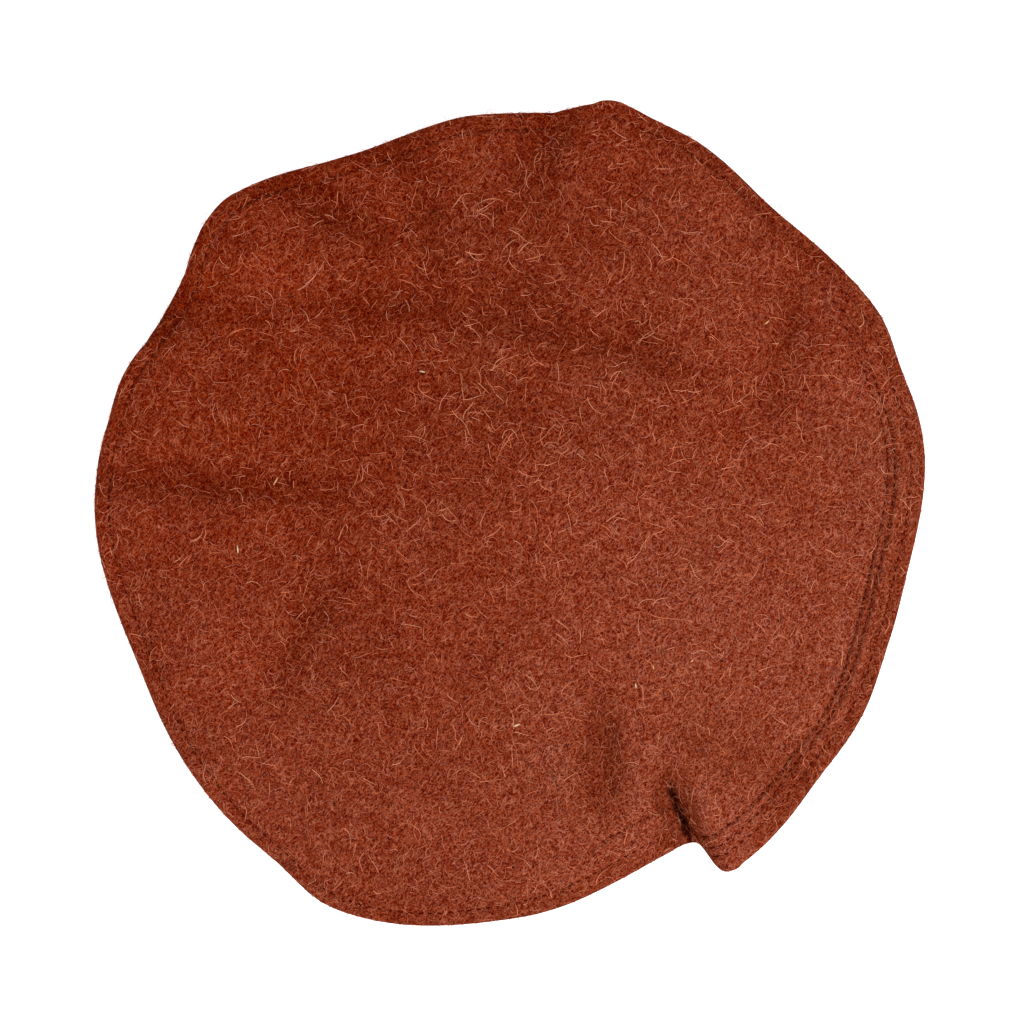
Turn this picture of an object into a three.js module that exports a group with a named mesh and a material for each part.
// A pakol: a soft round wool hat, shown lying on a table with its crown up.
//
// It is sewn from two pieces of thick wool cloth. The crown is a flat round piece, whose edge is turned
// under all round and stitched down. The side is a tube of the same cloth, sewn on under the crown's edge.
// It runs inwards to the head opening, and its lower edge is rolled outwards and up into a thick band that
// the hat sits on. Inside the band the cloth is wound tight, turn on turn, so the band is solid. The cloth
// is limp, so the crown's outline wanders, and folds run across it.
//
// The frame: millimetres, +Z up, with the table at Z = 0. +X is to the right and +Y away from someone who
// looks down on the crown, and bearings are counted from +X towards +Y, in degrees.

import * as THREE from "three";

// Driving dimensions

const crownDiameter = 280; // of the round that the wandering outline follows
const headOpening = 184; // across the inside of the rolled band, for a head of 58 cm
const cloth = 2.4; // thickness of the wool cloth of both pieces
const rollWidth = 31; // of the rolled band, from the head opening outwards
const rollHeight = 40;
const rollFlattening = 2.4; // how much the band is pressed flat where it lies on the table
const tuckGap = 1; // air where the roll's outer turn goes in under the side
const crownRise = 13.4; // from the top of the roll to the top of the crown
const crownDome = 8; // how far the crown falls in one slow sweep from its middle to its rim
const rimDroop = 3; // how much more the rim hangs, over the border alone
const droopRun = 24; // width of the border that hangs
const turnedUnder = 15; // width of the crown's edge that is turned under
const turnGapAtRim = 0.6; // air between the crown and its turned edge
const seamGap = 0.35; // between the crown's turned edge and the side
const slopeReach = 3; // how far apart the crown's heights are read to find its slope

// How far the rim drops for each millimetre that it is pulled in, because the cloth keeps its length
const dropShareOfPull = 0.4;

// The rim's outline starts from this share of the crown's radius, and the lobes are added to it.
const outlineBaseShare = 0.98;

// Lobes and dips of the outline. Each is a smooth swelling of the radius that peaks at a bearing and dies
// away over the degrees before and after it. reach is a share of the crown's radius.
const rimLobes = [
  { bearing: 12, before: 25, after: 30, reach: 0.043 },
  { bearing: 30, before: 12, after: 24, reach: 0.026 },
  { bearing: 68, before: 23, after: 14, reach: 0.04 },
  { bearing: 77, before: 8.5, after: 11, reach: 0.042 },
  { bearing: 109, before: 14, after: 15, reach: -0.02 },
  { bearing: 133, before: 15, after: 17, reach: 0.059 },
  { bearing: 145, before: 5, after: 5, reach: -0.005 },
  { bearing: 163, before: 14, after: 16, reach: 0.031 },
  { bearing: 178, before: 14, after: 28, reach: 0.037 },
  { bearing: 240, before: 50, after: 46, reach: 0.044 },
  { bearing: 246, before: 12, after: 30, reach: 0.032 },
  { bearing: 297, before: 26.5, after: 4.4, reach: -0.055 },
  { bearing: 302, before: 2.6, after: 26.5, reach: 0.047 },
  { bearing: 328, before: 12, after: 14, reach: 0.015 },
];

// Folds of the crown. Each is a valley along a straight line, deepest halfway, and one that runs out over
// the rim ends beyond it. All lengths are shares of the crown's radius. left and right are the widths of
// the valley's two flanks, for someone who walks from the first point to the second.
const crownFolds = [
  { fromX: -1.02, fromY: 0.44, toX: -0.5, toY: 0.51, left: 0.08, right: 0.09, depth: 0.012 },
  { fromX: -0.54, fromY: 0.49, toX: 0.14, toY: 0.52, left: 0.08, right: 0.09, depth: 0.023 },
  { fromX: -0.14, fromY: 0.53, toX: 0.54, toY: 0.33, left: 0.08, right: 0.08, depth: 0.024 },
  { fromX: -1.35, fromY: 0.12, toX: -0.35, toY: 0.04, left: 0.09, right: 0.08, depth: 0.024 },
  { fromX: 0.17, fromY: 1.25, toX: 0.02, toY: 0.66, left: 0.1, right: 0.1, depth: 0.028 },
  { fromX: -0.68, fromY: 0.84, toX: -0.2, toY: 0.61, left: 0.09, right: 0.09, depth: 0.024 },
  { fromX: -0.28, fromY: 0.95, toX: -0.16, toY: 0.5, left: 0.08, right: 0.08, depth: 0.016 },
  { fromX: 0.37, fromY: -0.6, toX: 0.5, toY: -0.95, left: 0.06, right: 0.1, depth: 0.038 },
  { fromX: 0.21, fromY: -0.38, toX: 0.22, toY: -0.8, left: 0.09, right: 0.09, depth: 0.026 },
  { fromX: -0.44, fromY: -0.12, toX: -0.58, toY: -0.48, left: 0.09, right: 0.09, depth: 0.014 },
  { fromX: 0.74, fromY: 0.68, toX: 0.6, toY: 0.22, left: 0.08, right: 0.08, depth: 0.015 },
];

// Places where the crown stands up, with lengths as shares of its radius
const crownSwells = [
  { x: -0.61, y: 0.64, width: 0.19, rise: 0.032 },
  { x: 0.54, y: -0.73, width: 0.16, rise: 0.014 },
  { x: 0.25, y: 0.02, width: 0.45, rise: 0.014 },
  { x: 0.56, y: -0.3, width: 0.36, rise: 0.012 },
  { x: -0.82, y: 0.27, width: 0.2, rise: 0.014 },
  { x: -0.72, y: -0.33, width: 0.22, rise: 0.018 },
  { x: 0.8, y: 0.3, width: 0.16, rise: 0.014 },
  { x: 0.46, y: 0.45, width: 0.18, rise: 0.01 },
  { x: 0.42, y: 0.72, width: 0.24, rise: 0.01 },
  { x: -0.19, y: -0.76, width: 0.32, rise: 0.012 },
];

// Soft unevenness of the rolled band, round its bearings. out is a share of the roll's width and up of
// its height. The last row is the dent under the deep fold at the crown's rim.
const rollLumps = [
  { bearing: 12, spread: 26, out: -0.02, up: 0.03 },
  { bearing: 46, spread: 34, out: 0.06, up: -0.03 },
  { bearing: 84, spread: 22, out: 0.01, up: 0.04 },
  { bearing: 112, spread: 30, out: -0.04, up: -0.04 },
  { bearing: 158, spread: 36, out: 0.07, up: 0.03 },
  { bearing: 198, spread: 24, out: -0.01, up: -0.05 },
  { bearing: 238, spread: 34, out: 0.05, up: 0.02 },
  { bearing: 268, spread: 20, out: 0.02, up: -0.03 },
  { bearing: 300, spread: 22, out: -0.12, up: -0.16 },
  { bearing: 332, spread: 22, out: 0.04, up: 0.02 },
];

// Where the body of the mesh is divided

const calmStep = 4; // degrees between two sections
const creaseStep = 1; // the same, across the deep fold at the rim
const creaseFrom = 296;
const creaseTo = 308;
const crownRings = 13;
const ringCrowding = 1.2; // above 1, the rings crowd towards the rim
const rimArcSteps = 4;
const rollSteps = 16;

// Values that follow

const crownRadius = crownDiameter / 2;
const crownTop = rollHeight + crownRise;
const rimRadius = cloth + turnGapAtRim / 2; // of the fold at the very edge
const tuckPitch = cloth + tuckGap; // how far the cloth winds inwards in one turn
const fullTurn = 360;

const radians = THREE.MathUtils.degToRad;

// A smooth hump: 1 at 0, and 0 from 1 on.
function hump(x) {
  return Math.abs(x) < 1 ? Math.cos((x * Math.PI) / 2) ** 2 : 0;
}

// The turn from one bearing to another, between -180 and 180 degrees
function turnTo(bearing, from) {
  return ((((bearing - from) % fullTurn) + fullTurn * 1.5) % fullTurn) - fullTurn / 2;
}

// How far the outline stands out at a bearing, as a share of the crown's radius
function outlineShare(bearing) {
  let share = outlineBaseShare;
  for (const lobe of rimLobes) {
    const turn = turnTo(bearing, lobe.bearing);
    share += lobe.reach * hump(turn / (turn < 0 ? lobe.before : lobe.after));
  }
  return share;
}

function outlineRadius(bearing) {
  return crownRadius * outlineShare(bearing);
}

// How deep the folds are at a point of the crown, in millimetres
function foldDepth(x, y) {
  let depth = 0;
  for (const fold of crownFolds) {
    const alongX = (fold.toX - fold.fromX) * crownRadius;
    const alongY = (fold.toY - fold.fromY) * crownRadius;
    const length = Math.hypot(alongX, alongY);
    const fromX = x - fold.fromX * crownRadius;
    const fromY = y - fold.fromY * crownRadius;
    const along = (fromX * alongX + fromY * alongY) / length ** 2;
    const aside = (alongX * fromY - alongY * fromX) / length;
    const flank = (aside > 0 ? fold.left : fold.right) * crownRadius;
    if (along > 0 && along < 1) {
      depth += fold.depth * crownRadius * Math.sin(Math.PI * along) * hump(aside / flank);
    }
  }
  return depth;
}

function swellRise(x, y) {
  let rise = 0;
  for (const swell of crownSwells) {
    const away = Math.hypot(x - swell.x * crownRadius, y - swell.y * crownRadius);
    rise += swell.rise * crownRadius * hump(away / (swell.width * crownRadius));
  }
  return rise;
}

// The height of the crown's upper face
function crownHeight(x, y) {
  const bearing = THREE.MathUtils.radToDeg(Math.atan2(y, x));
  const edge = outlineRadius(bearing);
  const away = Math.hypot(x, y);
  const hanging = THREE.MathUtils.clamp(1 - (edge - away) / droopRun, 0, 1);
  const pull = (1 - outlineShare(bearing)) * crownRadius;
  const droop = crownDome * (away / crownRadius) ** 2 + (rimDroop + dropShareOfPull * pull) * hanging ** 2;
  return crownTop - droop - foldDepth(x, y) + swellRise(x, y);
}

// The crown's upper face at a bearing and a distance from the centre, with its normal and, square to
// that, the way outwards along the cloth
function onCrown(bearing, radius) {
  const outX = Math.cos(radians(bearing));
  const outY = Math.sin(radians(bearing));
  const x = radius * outX;
  const y = radius * outY;
  const slopeX = (crownHeight(x + slopeReach, y) - crownHeight(x - slopeReach, y)) / (2 * slopeReach);
  const slopeY = (crownHeight(x, y + slopeReach) - crownHeight(x, y - slopeReach)) / (2 * slopeReach);
  const point = new THREE.Vector3(x, y, crownHeight(x, y));
  const normal = new THREE.Vector3(-slopeX, -slopeY, 1).normalize();
  const outwards = new THREE.Vector3(outX, outY, 0);
  outwards.addScaledVector(normal, -outwards.dot(normal)).normalize();
  return { point, normal, outwards };
}

// A point that lies under the crown's upper face, square to the cloth
function underCrown(bearing, radius, depth) {
  const { point, normal } = onCrown(bearing, radius);
  return point.addScaledVector(normal, -depth);
}

// The bearings at which both pieces have a section
function sectionBearings() {
  const bearings = [];
  let bearing = 0;
  while (bearing < fullTurn) {
    bearings.push(bearing);
    bearing += bearing >= creaseFrom && bearing < creaseTo ? creaseStep : calmStep;
  }
  return bearings;
}

// One section of the crown: out along its upper face, round the fold at the rim, in along the edge that
// is turned under, back out between the two layers, and in along the lower face.
function crownSection(bearing) {
  const foldAt = outlineRadius(bearing) - rimRadius;
  const hemEnd = outlineRadius(bearing) - turnedUnder;
  const ringRadii = [];
  for (let ring = 1; ring <= crownRings; ring++) {
    ringRadii.push(foldAt * (1 - (1 - ring / crownRings) ** ringCrowding));
  }
  const centre = new THREE.Vector3(0, 0, crownHeight(0, 0));
  const section = [centre];
  for (const radius of ringRadii) {
    section.push(underCrown(bearing, radius, 0));
  }
  const rim = onCrown(bearing, foldAt);
  for (let step = 1; step <= rimArcSteps; step++) {
    const angle = (Math.PI * step) / rimArcSteps;
    section.push(
      rim.point
        .clone()
        .addScaledVector(rim.normal, rimRadius * (Math.cos(angle) - 1))
        .addScaledVector(rim.outwards, rimRadius * Math.sin(angle)),
    );
  }
  const hemTop = cloth + turnGapAtRim;
  section.push(underCrown(bearing, (foldAt + hemEnd) / 2, hemTop + cloth));
  section.push(underCrown(bearing, hemEnd, hemTop + cloth));
  section.push(underCrown(bearing, hemEnd, hemTop));
  section.push(underCrown(bearing, (foldAt + hemEnd) / 2, hemTop));
  section.push(underCrown(bearing, foldAt, hemTop));
  for (const radius of ringRadii.reverse()) {
    section.push(underCrown(bearing, radius, cloth));
  }
  section.push(centre.clone().setZ(centre.z - cloth));
  return section;
}

// The size of the roll's section at a bearing
function rollAt(bearing) {
  let width = rollWidth;
  let height = rollHeight;
  for (const lump of rollLumps) {
    const here = hump(turnTo(bearing, lump.bearing) / lump.spread);
    width += lump.out * rollWidth * here;
    height += lump.up * rollHeight * here;
  }
  // The cloth winds inwards by a pitch in each turn, so by half a pitch from the top to the foot.
  return {
    centreRadius: (headOpening + width + tuckPitch / 2) / 2,
    centreHeight: (height - rollFlattening - tuckPitch / 2) / 2,
    halfWidth: (width + tuckPitch) / 2,
    halfHeight: (height + rollFlattening + tuckPitch / 2) / 2,
  };
}

// The outside of the rolled band in the plane of a bearing, as points of radius and height. From the top
// it goes down along the head opening, outwards along the table and up, and in under where it began.
function rollOutside(bearing) {
  const roll = rollAt(bearing);
  const outside = [];
  for (let step = 0; step <= rollSteps; step++) {
    const turn = step / rollSteps;
    const angle = Math.PI / 2 + 2 * Math.PI * turn;
    const radius = roll.centreRadius + (roll.halfWidth - tuckPitch * turn) * Math.cos(angle);
    const height = roll.centreHeight + (roll.halfHeight - tuckPitch * turn) * Math.sin(angle);
    outside.push(new THREE.Vector2(radius, Math.max(height, 0)));
  }
  return outside;
}

// One closed section of the side and its roll. It starts under the crown's turned edge, where the two
// are sewn together.
function sideSection(bearing) {
  const foldAt = outlineRadius(bearing) - rimRadius;
  const hemEnd = outlineRadius(bearing) - turnedUnder;
  const depth = 2 * cloth + turnGapAtRim + seamGap;
  const seamRadii = [foldAt, (foldAt + hemEnd) / 2, hemEnd];
  const upper = seamRadii.map((radius) => underCrown(bearing, radius, depth));
  const lower = seamRadii.map((radius) => underCrown(bearing, radius, depth + cloth));
  const outside = rollOutside(bearing);
  const tuckedIn = outside[0].clone().setY(outside[0].y - cloth);
  const standing = ({ x, y }) =>
    new THREE.Vector3(x * Math.cos(radians(bearing)), x * Math.sin(radians(bearing)), y);
  return [...lower, standing(tuckedIn), ...outside.map(standing).reverse(), ...upper.reverse()];
}

// A closed surface through sections that stand round the axis. The sections either close on themselves
// or start and end on the axis. Each four-cornered patch is split across its shorter diagonal, so that
// two pieces that lie against each other are split alike.
function surfaceThrough(sections, closed) {
  const count = sections[0].length;
  const at = (column, index) => (column % sections.length) * count + (index % count);
  const points = sections.flat();
  const apart = (one, other) => points[one].distanceTo(points[other]);
  const triangles = [];
  for (let column = 0; column < sections.length; column++) {
    for (let index = 0; index < (closed ? count : count - 1); index++) {
      const here = at(column, index);
      const along = at(column, index + 1);
      const beside = at(column + 1, index);
      const across = at(column + 1, index + 1);
      if (!closed && index === 0) {
        triangles.push(here, along, across);
      } else if (!closed && index === count - 2) {
        triangles.push(here, along, beside);
      } else if (apart(here, across) < apart(along, beside)) {
        triangles.push(here, along, across, here, across, beside);
      } else {
        triangles.push(here, along, beside, along, across, beside);
      }
    }
  }
  const positions = points.flatMap(({ x, y, z }) => [x, y, z]);
  const geometry = new THREE.BufferGeometry();
  geometry.setAttribute("position", new THREE.Float32BufferAttribute(positions, 3));
  geometry.setIndex(triangles);
  geometry.computeVertexNormals();
  return geometry;
}

function woolMaterial(color) {
  return new THREE.MeshStandardMaterial({ color, roughness: 0.95, metalness: 0, side: THREE.DoubleSide });
}

function makeCrown() {
  const sections = sectionBearings().map(crownSection);
  const crown = new THREE.Mesh(surfaceThrough(sections, false), woolMaterial(0x84371f));
  crown.name = "crown";
  return crown;
}

function makeRolledSide() {
  const sections = sectionBearings().map(sideSection);
  const side = new THREE.Mesh(surfaceThrough(sections, true), woolMaterial(0x7c321c));
  side.name = "rolled_side";
  return side;
}

const pakol = new THREE.Group();
pakol.add(makeCrown(), makeRolledSide());

// The origin is the middle of the hat's footprint, on the table.
const middle = new THREE.Box3().setFromObject(pakol).getCenter(new THREE.Vector3());
for (const piece of pakol.children) {
  piece.position.set(-middle.x, -middle.y, 0);
}

export default pakol;
